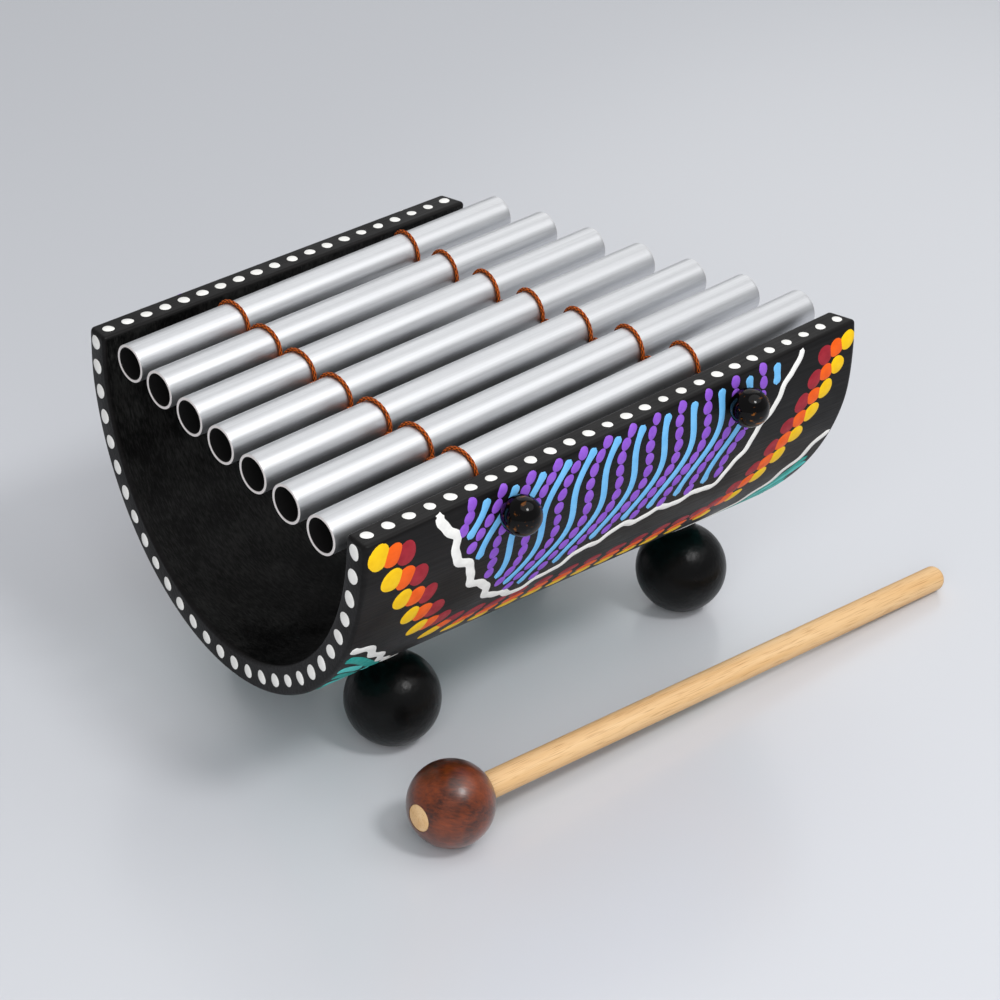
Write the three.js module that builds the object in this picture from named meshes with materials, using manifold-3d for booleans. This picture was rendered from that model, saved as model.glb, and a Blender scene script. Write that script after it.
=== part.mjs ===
// A tube metallophone: aluminium tubes hung on two twined cords across an open bamboo trough.
// The trough stands on four turned ball feet, and the mallet lies on the floor in front of it.
// Lengths are millimetres. X runs along the tubes, Y across them to the far wall, Z up from the floor.

import * as THREE from 'three';
import { mergeVertices } from 'three/addons/utils/BufferGeometryUtils.js';
import Module from 'manifold-3d';

const wasm = await Module();
wasm.setup();

const { degToRad } = THREE.MathUtils;

// Gap left between pieces that press on each other in the real instrument
const seatGap = 0.3;

// Trough: a length of bamboo culm, sawn open along the top and slantwise across both ends
const culmRadius = 80;
const culmWall = 9.6;
const culmSegments = 56;
const troughLength = 175.1;
const frontSlant = degToRad(6);
const rearSlant = degToRad(13.9);
const rimRise = 3.4;
const rimTilt = degToRad(2.8);
const endCornerRadius = 5;

// Tubes: equal in section, with lengths in a steady ratio from the far wall to the near one
const tubeCount = 7;
const tubeRadius = 6.35;
const tubeWall = 0.9;
const tubeChamfer = 0.25;
const tubeSegments = 28;
const shortestTube = 157.5;
const longestTube = 202;
const sideGap = 4.95;
const tubeDrop = 4.1;
const shortTubeReach = 78;
const longTubeReach = 98;
const rowSkew = degToRad(1.25);

// Cords: two strands to a run, holding the tubes near their still points and twisted between them. Each run
// bows a little towards the rear at both walls, and its twists hang below the tubes' axes.
const frontNodeShare = 0.25;
const frontNodeBow = 0.012;
const rearNodeShare = 0.289;
const rearNodeBow = -0.02;
const twistDrop = degToRad(15);
const cordRadius = 0.65;
const cordSides = 6;
const strandOffset = 1.05;
const ringSteps = 8;
const twistSteps = 6;
const nearHoleShare = 0.268;
const nearHoleDrop = 9;
const farHoleDrop = 13;
const mouthLead = 1.2;

// Beads: round stoppers outside the walls, each with a blind bore that holds both strand ends
const beadRadius = 6.3;
const beadFlatDepth = 1;
const beadBoreDepth = 6.5;
const strandEndGap = 0.5;
const beadSegments = 18;

// Feet: turned balls with a short neck, each joined to the trough by a hidden dowel
const ballRadius = 15.6;
const neckLength = 1.9;
const neckRadius = 7.5;
const footFlat = 0.3;
const footHalfTrack = 34.9;
const frontFootInset = 44.6;
const rearFootInset = 14.7;
const dowelRadius = 3;
const dowelInWall = 6;
const dowelInBall = 12;
const ballSegments = 24;

// Mallet: a round head on a handle that passes right through it
const headRadius = 13.6;
const handleRadius = 4.35;
const handleLength = 242.5;
const handleDome = 3;
const malletX = 20;
const malletAside = 7.8;
const malletTurn = degToRad(1.2);

// Heights and places that follow from the sizes above
const holeRadius = strandOffset + cordRadius + seatGap;
const socketRadius = dowelRadius + seatGap;
const footReach = culmRadius + neckLength + ballRadius;
const ballHeight = ballRadius - footFlat;
const axisHeight = ballHeight + Math.sqrt(footReach ** 2 - footHalfTrack ** 2);
const innerRadius = culmRadius - culmWall;
const outerTubeY = innerRadius - sideGap - tubeRadius;
const tubePitch = (2 * outerTubeY) / (tubeCount - 1);

const frontEdge = (y) => y * Math.tan(frontSlant);
const rearEdge = (y) => troughLength - y * Math.tan(rearSlant);
const rimHeight = (x) => axisHeight + rimRise + x * Math.tan(rimTilt);

// Turns a closed geometry into a solid that can be cut and joined
function toSolid(geometry) {
  const bare = new THREE.BufferGeometry();
  bare.setAttribute('position', geometry.getAttribute('position').clone());
  bare.setIndex(geometry.getIndex());
  const merged = mergeVertices(bare, 1e-4);
  const corners = merged.getIndex().array;
  const kept = [];
  for (let i = 0; i < corners.length; i += 3) {
    const [a, b, c] = corners.slice(i, i + 3);
    if (a !== b && b !== c && c !== a) kept.push(a, b, c);
  }
  const vertProperties = new Float32Array(merged.getAttribute('position').array);
  return new wasm.Manifold(new wasm.Mesh({ numProp: 3, vertProperties, triVerts: new Uint32Array(kept) }));
}

function toGeometry(solid) {
  const { vertProperties, triVerts } = solid.getMesh();
  const geometry = new THREE.BufferGeometry();
  geometry.setAttribute('position', new THREE.BufferAttribute(vertProperties, 3));
  geometry.setIndex(new THREE.BufferAttribute(triVerts, 1));
  geometry.computeVertexNormals();
  return geometry;
}

// A revolved piece about local Y, from a profile of [radius, height] pairs
function revolve(profile, segments) {
  return new THREE.LatheGeometry(profile.map(([r, h]) => new THREE.Vector2(r, h)), segments);
}

// Profile points on a circle round the axis, angles measured up from the widest ring
function arcProfile(radius, fromAngle, toAngle, count) {
  return Array.from({ length: count + 1 }, (_, i) => {
    const angle = fromAngle + ((toAngle - fromAngle) * i) / count;
    return [radius * Math.cos(angle), radius * Math.sin(angle)];
  });
}

function addPiece(parent, name, geometry, material) {
  const piece = new THREE.Mesh(geometry, new THREE.MeshStandardMaterial(material));
  piece.name = name;
  parent.add(piece);
  return piece;
}

// Round pieces are made about this axis and then turned
const across = new THREE.Vector3(0, 1, 0);

const metallophone = new THREE.Group();

const blackPaint = { color: 0x1d1c1c, roughness: 0.5, metalness: 0 };
const satinAluminium = { color: 0xd9dadc, roughness: 0.3, metalness: 1 };
const rustCord = { color: 0xb84a12, roughness: 0.85, metalness: 0 };
const lacqueredBead = { color: 0x17110e, roughness: 0.12, metalness: 0 };
const blackBall = { color: 0x151515, roughness: 0.3, metalness: 0 };
const paleWood = { color: 0xe0b583, roughness: 0.55, metalness: 0 };
const stainedWood = { color: 0x5a2415, roughness: 0.3, metalness: 0 };

// Where the row of tubes lies: level across, climbing with the rims, and a little skew
const row = new THREE.Group();
row.position.set(troughLength / 2, 0, rimHeight(troughLength / 2) - tubeDrop);
row.rotation.set(0, -rimTilt, rowSkew, 'ZYX');
row.updateMatrixWorld();
metallophone.add(row);

// Tubes count from the far wall, the shortest one, to the near wall, the longest
const tubes = Array.from({ length: tubeCount }, (_, i) => {
  const share = i / (tubeCount - 1);
  const length = shortestTube * (longestTube / shortestTube) ** share;
  const front = -(shortTubeReach + (longTubeReach - shortTubeReach) * share);
  const bow = (2 * share - 1) ** 2;
  return {
    length,
    front,
    y: outerTubeY - i * tubePitch,
    frontNode: front + (frontNodeShare + frontNodeBow * bow) * length,
    rearNode: front + (1 - rearNodeShare - rearNodeBow * bow) * length,
  };
});

function tubeGeometry(length) {
  const bore = tubeRadius - tubeWall;
  return revolve([
    [bore, 0],
    [tubeRadius - tubeChamfer, 0],
    [tubeRadius, tubeChamfer],
    [tubeRadius, length - tubeChamfer],
    [tubeRadius - tubeChamfer, length],
    [bore, length],
    [bore, 0],
  ], tubeSegments).rotateZ(-Math.PI / 2);
}

tubes.forEach((tube, i) => {
  addPiece(row, `tube_${i + 1}`, tubeGeometry(tube.length), satinAluminium)
    .position.set(tube.front, tube.y, 0);
});

// Cord holes: one in each wall for each run. The far ones are in line with the shortest tube's rings, the
// near ones an equal share of the wall's length from either end.
const runs = ['front', 'rear'];
const walls = [
  { name: 'far', side: 1, holeDrop: farHoleDrop },
  { name: 'near', side: -1, holeDrop: nearHoleDrop },
];

function holePoint(run, wall) {
  const y = wall.side * culmRadius;
  const share = run === 'front' ? nearHoleShare : 1 - nearHoleShare;
  const ahead = row.localToWorld(new THREE.Vector3(tubes[0][`${run}Node`], y, 0));
  const x = wall.side > 0 ? ahead.x : THREE.MathUtils.lerp(frontEdge(y), rearEdge(y), share);
  return new THREE.Vector3(x, y, rimHeight(x) - wall.holeDrop);
}

const feet = walls.flatMap(({ name, side }) => runs.map((end) => {
  const y = side * footHalfTrack;
  const x = end === 'front' ? frontEdge(y) + frontFootInset : rearEdge(y) - rearFootInset;
  const outward = new THREE.Vector3(0, y, ballHeight - axisHeight).normalize();
  return { name: `${name}_${end}`, outward, ball: new THREE.Vector3(x, y, ballHeight) };
}));

// A round hole cutter along a direction, centred on a point
function holeCutter(radius, length, centre, direction) {
  const geometry = new THREE.CylinderGeometry(radius, radius, length, 16);
  const turn = new THREE.Quaternion().setFromUnitVectors(across, direction);
  return toSolid(geometry.applyQuaternion(turn).translate(centre.x, centre.y, centre.z));
}

// The pipe wall below the saw cut: a ring sector, drawn in Y and Z and run along X
function culmPipe() {
  const overcut = degToRad(16);
  const sector = new THREE.Shape();
  sector.absarc(0, 0, culmRadius, overcut, -Math.PI - overcut, true);
  sector.absarc(0, 0, innerRadius, -Math.PI - overcut, overcut, false);
  const ends = [frontEdge(-culmRadius), rearEdge(-culmRadius)];
  const spare = 2 * endCornerRadius;
  const depth = ends[1] - ends[0] + 2 * spare;
  const pipe = new THREE.ExtrudeGeometry(sector, { depth, bevelEnabled: false, curveSegments: culmSegments });
  const axes = [[0, 1, 0], [0, 0, 1], [1, 0, 0]].map((axis) => new THREE.Vector3(...axis));
  pipe.applyMatrix4(new THREE.Matrix4().makeBasis(...axes));
  return toSolid(pipe.translate(ends[0] - spare, 0, axisHeight));
}

// What the two end cuts leave, seen from above: a trapezium with its corners sanded round
function planPrism() {
  const half = culmRadius + seatGap;
  const corners = [
    [frontEdge(-half), -half],
    [rearEdge(-half), -half],
    [rearEdge(half), half],
    [frontEdge(half), half],
  ].map(([x, y]) => new THREE.Vector2(x, y));
  const outline = new THREE.Shape();
  corners.forEach((corner, i) => {
    const before = corners[(i + 3) % 4];
    const after = corners[(i + 1) % 4];
    const towards = (other) => other.clone().sub(corner).setLength(endCornerRadius).add(corner);
    const start = towards(before);
    const end = towards(after);
    if (i === 0) outline.moveTo(start.x, start.y);
    else outline.lineTo(start.x, start.y);
    outline.quadraticCurveTo(corner.x, corner.y, end.x, end.y);
  });
  outline.closePath();
  const depth = 2 * axisHeight;
  return toSolid(new THREE.ExtrudeGeometry(outline, { depth, bevelEnabled: false, curveSegments: 6 }));
}

// Everything above the rim's saw cut
function aboveRim() {
  const reach = 6 * culmRadius;
  const block = new THREE.BoxGeometry(reach, reach, culmRadius).translate(0, 0, culmRadius / 2);
  return toSolid(block.rotateY(-rimTilt).translate(0, 0, rimHeight(0)));
}

// The trough keeps a hole for each strand pair and a blind socket for each foot's dowel
function troughGeometry() {
  let trough = culmPipe().intersect(planPrism()).subtract(aboveRim());
  for (const wall of walls) {
    for (const run of runs) {
      const middle = holePoint(run, wall).setY(wall.side * (culmRadius - culmWall / 2));
      trough = trough.subtract(holeCutter(holeRadius, 2 * culmWall, middle, across));
    }
  }
  for (const { ball, outward } of feet) {
    const middle = ball.clone().addScaledVector(outward, culmRadius - footReach);
    trough = trough.subtract(holeCutter(socketRadius, 2 * dowelInWall, middle, outward));
  }
  return toGeometry(trough);
}

addPiece(metallophone, 'trough', troughGeometry(), blackPaint);

// The two runs are twisted opposite ways
const twistHand = { front: 1, rear: -1 };

// Distance of a strand's centre line from the axis of the tube that it lies on
const ringReach = tubeRadius + seatGap + cordRadius;

// Points through the bead's bore and the wall hole, from outside to just inside the trough. The strand that
// goes on over the tube lies above the other one.
function throughWall(run, wall, up) {
  const hole = holePoint(run, wall);
  const bead = culmRadius + seatGap + beadBoreDepth - strandEndGap;
  return [bead, culmRadius, innerRadius, innerRadius - mouthLead].map((y) => (
    row.worldToLocal(new THREE.Vector3(hole.x, wall.side * y, hole.z + up * strandOffset))
  ));
}

// Angle at which a straight run from a point beside a tube comes to lie against the tube's underside
function touchAngle(tube, point) {
  const away = Math.abs(point.y - tube.y);
  return Math.acos(ringReach / Math.hypot(away, point.z)) - Math.atan2(point.z, away);
}

// Points round a tube's upper or lower half, from its near side to its far side
function ringPoints(run, tube, up, start, end) {
  return Array.from({ length: ringSteps + 1 }, (_, i) => {
    const angle = THREE.MathUtils.lerp(start, end, i / ringSteps);
    const x = tube[`${run}Node`] - twistHand[run] * up * strandOffset * Math.cos(angle);
    return new THREE.Vector3(x, tube.y + ringReach * Math.cos(angle), up * ringReach * Math.sin(angle));
  });
}

// Points across the gap beyond a tube, where the two strands make one turn round each other
function twistPoints(run, i, start) {
  const aheadY = ringReach * Math.cos(twistDrop);
  const z = -ringReach * Math.sin(twistDrop);
  const near = new THREE.Vector3(tubes[i][`${run}Node`], tubes[i].y + aheadY, z);
  const far = new THREE.Vector3(tubes[i - 1][`${run}Node`], tubes[i - 1].y - aheadY, z);
  const upward = new THREE.Vector3(0, 0, strandOffset);
  const sideways = far.clone().sub(near).normalize().cross(upward);
  return Array.from({ length: twistSteps - 1 }, (_, k) => {
    const share = (k + 1) / twistSteps;
    const angle = start + 2 * Math.PI * share;
    const point = near.clone().lerp(far, share).addScaledVector(sideways, twistHand[run] * Math.cos(angle));
    return point.addScaledVector(upward, Math.sin(angle));
  });
}

// A smooth curve that is divided at its own points, so that the twists get closer steps than the rings
class StrandCurve extends THREE.CatmullRomCurve3 {
  getPointAt(share, target) {
    return this.getPoint(share, target);
  }

  getTangentAt(share, target) {
    return this.getTangent(share, target);
  }
}

// One strand from the near bead to the far one, over every second tube and under the others
function strandRoute(run, phase) {
  const [farWall, nearWall] = walls;
  const nearest = tubeCount - 1;
  const isOver = (i) => (i + phase) % 2 === 0;
  const up = (i) => (isOver(i) ? 1 : -1);
  const points = throughWall(run, nearWall, up(nearest));
  const leaving = throughWall(run, farWall, up(0)).reverse();
  for (let i = nearest; i >= 0; i -= 1) {
    const tube = tubes[i];
    let start = Math.PI + up(i) * twistDrop;
    let end = -up(i) * twistDrop;
    if (i === nearest) start = isOver(i) ? Math.PI : Math.PI - touchAngle(tube, points.at(-1));
    if (i === 0) end = isOver(i) ? 0 : touchAngle(tube, leaving[0]);
    points.push(...ringPoints(run, tube, up(i), start, end));
    if (i > 0) {
      points.push(...twistPoints(run, i, isOver(i) ? Math.PI : 0));
    }
  }
  points.push(...leaving);
  return new StrandCurve(points.map((point) => row.localToWorld(point)));
}

function cordGeometry(route) {
  const turn = (i) => (2 * Math.PI * i) / cordSides;
  const corners = Array.from({ length: cordSides }, (_, i) => (
    new THREE.Vector2(cordRadius * Math.cos(turn(i)), cordRadius * Math.sin(turn(i)))
  ));
  const steps = route.points.length - 1;
  return new THREE.ExtrudeGeometry(new THREE.Shape(corners), { steps, extrudePath: route });
}

for (const run of runs) {
  const routes = [0, 1].map((phase) => strandRoute(run, phase));
  const [first, second] = routes.map((route) => route.getSpacedPoints(800));
  const apart = (point) => Math.min(...second.map((other) => point.distanceTo(other)));
  const nearest = Math.min(...first.map(apart));
  const lengths = routes.map((route) => route.getLength().toFixed(0)).join(' and ');
  const leastGap = (nearest - 2 * cordRadius).toFixed(2);
  console.log(`${run} cord: strands ${lengths} mm long, least gap ${leastGap} mm`);
  routes.forEach((route, phase) => {
    addPiece(metallophone, `${run}_cord_${'ab'[phase]}`, cordGeometry(route), rustCord);
  });
}

// A bead's flat and the mouth of its bore face the wall
function beadGeometry() {
  const flat = beadRadius - beadFlatDepth;
  const boreEnd = beadBoreDepth - flat;
  return revolve([
    [0, boreEnd],
    [holeRadius, boreEnd],
    [holeRadius, -flat],
    ...arcProfile(beadRadius, -Math.asin(flat / beadRadius), Math.PI / 2, 8),
  ], beadSegments);
}

for (const wall of walls) {
  for (const run of runs) {
    const bead = addPiece(metallophone, `bead_${wall.name}_${run}`, beadGeometry(), lacqueredBead);
    const reach = culmRadius + seatGap + beadRadius - beadFlatDepth;
    bead.position.copy(holePoint(run, wall).setY(wall.side * reach));
    bead.quaternion.setFromUnitVectors(across, across.clone().multiplyScalar(wall.side));
  }
}

// A foot about its ball's centre, its neck towards the trough and a small flat on the floor
function footGeometry(outward) {
  const top = footReach - culmRadius - seatGap;
  const foot = revolve([
    ...arcProfile(ballRadius, -Math.PI / 2, Math.acos(neckRadius / ballRadius), 12),
    [neckRadius, top],
    [socketRadius, top],
    [socketRadius, top - dowelInBall],
    [0, top - dowelInBall],
  ], ballSegments);
  foot.applyQuaternion(new THREE.Quaternion().setFromUnitVectors(across, outward.clone().negate()));
  const floor = new THREE.BoxGeometry(2 * ballRadius, 2 * ballRadius, ballRadius);
  return toGeometry(toSolid(foot).subtract(toSolid(floor.translate(0, 0, -ballHeight - ballRadius / 2))));
}

for (const { name, outward, ball } of feet) {
  addPiece(metallophone, `foot_${name}`, footGeometry(outward), blackBall).position.copy(ball);
  const length = dowelInWall + dowelInBall - seatGap;
  const pin = new THREE.CylinderGeometry(dowelRadius, dowelRadius, length, 16);
  const dowel = addPiece(metallophone, `dowel_${name}`, pin, paleWood);
  dowel.position.copy(ball).addScaledVector(outward, culmRadius + dowelInBall - length / 2 - footReach);
  dowel.quaternion.setFromUnitVectors(across, outward);
}

// The mallet rests on its head and on the far end of its handle
const headFace = Math.sqrt(headRadius ** 2 - handleRadius ** 2);
const handleTail = handleLength - headFace;
const malletDrop = Math.asin((headRadius - handleRadius) / (handleTail - handleDome));

function headGeometry() {
  const bore = handleRadius + seatGap;
  const rim = Math.acos(bore / headRadius);
  const outside = arcProfile(headRadius, -rim, rim, 16);
  return revolve([...outside, outside[0]], 32);
}

function handleGeometry() {
  const dome = arcProfile(1, 0, Math.PI / 2, 5);
  return revolve([
    [0, -headFace],
    [handleRadius, -headFace],
    ...dome.map(([r, h]) => [handleRadius * r, handleTail + handleDome * (h - 1)]),
  ], 24);
}

const mallet = new THREE.Group();
mallet.position.set(malletX, -culmRadius - malletAside, headRadius);
mallet.rotation.set(-malletDrop, 0, malletTurn - Math.PI / 2, 'ZYX');
metallophone.add(mallet);
addPiece(mallet, 'mallet_head', headGeometry(), stainedWood);
addPiece(mallet, 'mallet_handle', handleGeometry(), paleWood);

// The origin is on the floor, under the middle of the whole set
const bounds = new THREE.Box3().setFromObject(metallophone, true);
const middle = bounds.getCenter(new THREE.Vector3());
metallophone.position.set(-middle.x, -middle.y, -bounds.min.z);

export default metallophone;
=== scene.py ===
import math

import bpy
import numpy as np
from mathutils import Matrix


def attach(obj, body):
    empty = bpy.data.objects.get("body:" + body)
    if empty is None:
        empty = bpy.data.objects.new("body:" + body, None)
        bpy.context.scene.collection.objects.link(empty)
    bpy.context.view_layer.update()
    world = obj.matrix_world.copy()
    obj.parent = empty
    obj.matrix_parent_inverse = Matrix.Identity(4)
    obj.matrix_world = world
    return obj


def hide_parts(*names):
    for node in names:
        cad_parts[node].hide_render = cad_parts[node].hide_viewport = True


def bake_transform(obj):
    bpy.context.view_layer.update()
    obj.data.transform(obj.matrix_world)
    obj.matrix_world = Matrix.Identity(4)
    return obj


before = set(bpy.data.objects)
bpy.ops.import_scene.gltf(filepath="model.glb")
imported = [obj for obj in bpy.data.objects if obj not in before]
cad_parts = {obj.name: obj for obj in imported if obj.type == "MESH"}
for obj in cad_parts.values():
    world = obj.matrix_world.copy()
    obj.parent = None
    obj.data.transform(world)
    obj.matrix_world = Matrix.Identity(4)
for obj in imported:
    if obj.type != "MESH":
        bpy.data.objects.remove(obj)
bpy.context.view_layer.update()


# Trough: a length of thick-walled bamboo culm, sawn open along its top and slantwise across both ends.
# The sawn edges are sanded round, and it is brushed inside and out with satin black paint.
# It is the stand and the sound box, so all the other pieces but the mallet are fixed to it.
MM = 0.001
CULM_FRONT = np.array([-120.013, 4.749, 0.0])
CULM_RADIUS = 80.0
CULM_WALL = 9.6
BORE_RADIUS = CULM_RADIUS - CULM_WALL
CULM_LENGTH = 175.1
AXIS_HEIGHT = 106.34
FRONT_SLANT = math.tan(math.radians(6))
REAR_SLANT = math.tan(math.radians(13.9))
RIM_RISE = 3.4
RIM_TILT = math.radians(2.8)
RIM_MIDDLE = CULM_RADIUS - CULM_WALL / 2
PLAN_CORNER = 2.6
CORNER_START = CULM_RADIUS + 0.3
EDGE_ROUND = 1.2
EDGE_STEPS = 6
ARC_STEPS = 140


def linear(code):
    """A colour written as six sRGB hex digits, in the linear values that shaders take."""
    parts = [int(code[i:i + 2], 16) / 255 for i in (0, 2, 4)]
    return (*[c / 12.92 if c <= 0.04045 else ((c + 0.055) / 1.055) ** 2.4 for c in parts], 1.0)


def set_inputs(tree, node, inputs):
    """Sets a shader node's inputs to plain values, or links them from other nodes' outputs."""
    for key, value in inputs.items():
        if isinstance(value, bpy.types.NodeSocket):
            tree.links.new(value, node.inputs[key])
        else:
            node.inputs[key].default_value = value


def add_node(tree, kind, output, inputs, **settings):
    """Adds a shader node with its inputs and settings, and returns one of its outputs."""
    node = tree.nodes.new("ShaderNode" + kind)
    for key, value in settings.items():
        setattr(node, key, value)
    set_inputs(tree, node, inputs)
    return node.outputs[output]


def new_material(name, inputs):
    """A material of one principled shader, with plain values set on the shader's own sockets."""
    material = bpy.data.materials.new(name)
    material.use_nodes = True
    shader = material.node_tree.nodes["Principled BSDF"]
    set_inputs(material.node_tree, shader, inputs)
    return material, material.node_tree, shader


def new_piece(name, parts, material):
    """A smooth mesh object from parts given as points in mm from the culm's front and arrays of faces."""
    points = np.vstack([part[0].reshape(-1, 3) for part in parts])
    starts = np.cumsum([0] + [part[0].size // 3 for part in parts])
    faces = []
    for part, start in zip(parts, starts):
        for block in part[1]:
            faces += (block + start).tolist()
    mesh = bpy.data.meshes.new(name)
    mesh.from_pydata((points + CULM_FRONT) * MM, [], faces)
    mesh.shade_smooth()
    mesh.materials.append(material)
    piece = bpy.data.objects.new(name, mesh)
    bpy.context.scene.collection.objects.link(piece)
    return piece


def mark_points(piece, name, values):
    """Keeps one number for each point of a piece under a name, for its material to read."""
    marks = piece.data.attributes.new(name, "FLOAT", "POINT")
    marks.data.foreach_set("value", np.ravel(values).astype(np.float32))


def grid_faces(rows, columns, closed=False):
    """Quads between neighbours in a grid of points, and from the last column to the first if it is closed."""
    index = np.arange(rows * columns).reshape(rows, columns)
    index = np.hstack([index, index[:, :1]]) if closed else index
    return np.stack([index[:-1, :-1], index[1:, :-1], index[1:, 1:], index[:-1, 1:]], -1).reshape(-1, 4)


def front_edge(y):
    """Where the front end's slanting cut lies along the culm."""
    return y * FRONT_SLANT


def rear_edge(y):
    """Where the rear end's slanting cut lies along the culm."""
    return CULM_LENGTH - y * REAR_SLANT


def rim_level(x):
    """Height of the rims over the culm's axis: they climb steadily to the rear."""
    return RIM_RISE + x * math.tan(RIM_TILT)


def corner_cut(y):
    """How far the walls' corners are sanded back in plan, along a quarter of a parabola."""
    return PLAN_CORNER * (1 - np.sqrt(np.clip((CORNER_START - np.abs(y)) / PLAN_CORNER, 0, 1))) ** 2


def trough_shell():
    """A U-shaped section carried along the culm. One side of the section is the outer arc and the other the
    inner arc, and each turns on to the rim by a quarter circle. At the ends the section draws in by another
    quarter circle, which rounds the end edges, and flat strips from arc to arc close the ends. The second
    result is true on the inner arc alone."""
    turn = np.linspace(0, np.pi / 2, EDGE_STEPS)
    middle = np.concatenate([[0.003], np.linspace(0.03, 0.97, 29), [0.997]])
    share = np.concatenate([0 * turn, middle, 0 * turn + 1])[:, None]
    draw = EDGE_ROUND * np.concatenate([1 - np.sin(turn), 0 * middle, 1 - np.cos(turn)])[:, None]
    shift = EDGE_ROUND * np.concatenate([1 - np.cos(turn), 1 - 2 * middle, np.sin(turn) - 1])[:, None]

    def side(radius, outward, flat):
        """Half of the far rim with its round edge, the arc, and the same on the near rim. The points across
        a rim are at the shares in flat of the way from its middle to its edge."""
        lips = []
        for wall in (1, -1):
            front, rear = front_edge(wall * RIM_MIDDLE), rear_edge(wall * RIM_MIDDLE)
            top = rim_level(front * (1 - share) + rear * share) - draw
            edge = np.sqrt(radius ** 2 - (top - EDGE_ROUND) ** 2) - outward * EDGE_ROUND
            rounded = edge + outward * EDGE_ROUND * np.sin(turn)
            y = np.hstack([RIM_MIDDLE + flat * (edge - RIM_MIDDLE), rounded])
            z = np.hstack([top + 0 * flat, top - EDGE_ROUND + EDGE_ROUND * np.cos(turn)])
            lips.append((wall * y, z, np.arcsin((top - EDGE_ROUND) / radius)))
        (far_y, far_z, far_lean), (near_y, near_z, near_lean) = lips
        angle = far_lean - np.linspace(0, 1, ARC_STEPS + 1)[1:-1] * (np.pi + far_lean + near_lean)
        y = np.hstack([far_y, radius * np.cos(angle), near_y[:, ::-1]])
        return y, np.hstack([far_z, radius * np.sin(angle), near_z[:, ::-1]])

    outer = side(CULM_RADIUS - draw, 1, np.array([0.0, 0.7, 0.94]))
    inner = side(BORE_RADIUS + draw, -1, np.array([0.1, 0.7, 0.94]))
    y, z = [np.hstack([o, i[:, ::-1]]) for o, i in zip(outer, inner)]
    x = (front_edge(y) + corner_cut(y)) * (1 - share) + (rear_edge(y) - corner_cut(y)) * share + shift
    inside = (np.hypot(y, z) < BORE_RADIUS + 0.05) & (share > 0) & (share < 1)
    rows, columns = x.shape
    first = np.arange(columns // 2 - 1)
    cap = np.stack([first, first + 1, columns - 2 - first, columns - 1 - first], -1)
    caps = np.vstack([cap, cap[:, ::-1] + (rows - 1) * columns])
    return (np.stack([x, y, z + AXIS_HEIGHT], -1), [grid_faces(rows, columns, True), caps]), inside


# Satin black brushed paint: brush marks run along the culm, about 1 mm wide, over a slightly uneven wall.
# Inside, the culm was scraped out before it was painted, so fine marks 0.5 mm wide run round it.
# A MapRange takes input 0 from the span of 1 and 2 to that of 3 and 4, and a Mix goes by input 0 from number
# 2 to number 3 or from colour 6 to colour 7.
black, tree, shader = new_material("satin_black_brushed_paint", {"Specular IOR Level": 0.16})
place = add_node(tree, "TexCoord", "Object", {})
inside = add_node(tree, "Attribute", "Fac", {}, attribute_name="inside")
size = (40 * MM, 1.2 * MM, 1.2 * MM)
stretch = add_node(tree, "Mapping", 0, {"Vector": place, "Scale": size}, vector_type="TEXTURE")
marks = add_node(tree, "TexNoise", "Fac", {"Vector": stretch, "Scale": 1.0, "Detail": 4.0})
size = (0.5 * MM, 2.6 * MM, 2.6 * MM)
around = add_node(tree, "Mapping", 0, {"Vector": place, "Scale": size}, vector_type="TEXTURE")
scrapes = add_node(tree, "TexNoise", "Fac", {"Vector": around, "Scale": 1.0, "Detail": 4.0, "Roughness": 0.6})
patches = add_node(tree, "TexNoise", "Fac", {"Vector": place, "Scale": 1 / (14 * MM), "Detail": 3.0})
share = add_node(tree, "MapRange", 0, {0: marks, 1: 0.3, 2: 0.75})
brushed = add_node(tree, "Mix", 2, {0: share, 6: linear("0b0a0a"), 7: linear("171515")}, data_type="RGBA")
uneven = add_node(tree, "Math", 0, {0: patches, 1: 0.5, 2: scrapes}, operation="MULTIPLY_ADD")
share = add_node(tree, "MapRange", 0, {0: uneven, 1: 0.66, 2: 0.98})
scraped = add_node(tree, "Mix", 2, {0: share, 6: linear("040404"), 7: linear("262625")}, data_type="RGBA")
colour = add_node(tree, "Mix", 2, {0: inside, 6: brushed, 7: scraped}, data_type="RGBA")
gloss = add_node(tree, "MapRange", 0, {0: patches, 1: 0.3, 2: 0.7, 3: 0.38, 4: 0.52})
height = add_node(tree, "Mix", 0, {0: inside, 2: marks, 3: scrapes})
relief = add_node(tree, "Bump", 0, {"Height": height, "Distance": 0.12 * MM})
set_inputs(tree, shader, {"Base Color": colour, "Roughness": gloss, "Normal": relief})

shape, inside = trough_shell()
trough = new_piece("trough_shell", [shape], black)
mark_points(trough, "inside", inside)
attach(trough, "stand")
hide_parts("trough")


# White dots: single drops of thick acrylic paint, set by hand with a stick at an even spacing.
# A row of them runs round each end face and along each rim, in the middle of the wall's thickness.
RIM_DOT_SIZE = 3.8
RIM_DOT_COUNTS = {-1: 26, 1: 20}
RIM_DOT_LINE = RIM_MIDDLE - 0.35
RIM_DOT_INSETS = {"front": 4.6, "rear": 3.8}
END_DOT_SIZE = 4.7
END_DOT_COUNT = 29
END_DOT_ANGLES = (0.6, 180.2)
END_DOT_SWELL = 0.12
END_DOT_OUT = 0.2
END_DOT_SHIFT = 0.6
DOT_HEIGHT = 0.3
DAB_SIDES = 20
DAB_RINGS = np.array([1.0, 0.88, 0.55])
DAB_LOBES = (0.05, 0.03)
DAB_SPREAD = 0.04
PAINT_SINK = 0.04


def on_rim(wall):
    """Places on a rim: x along the culm, y across from the line of dots and lift upwards."""
    return lambda x, y, lift: np.stack(np.broadcast_arrays(
        x, wall * RIM_DOT_LINE + y, AXIS_HEIGHT + rim_level(x) + lift), -1)


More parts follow.
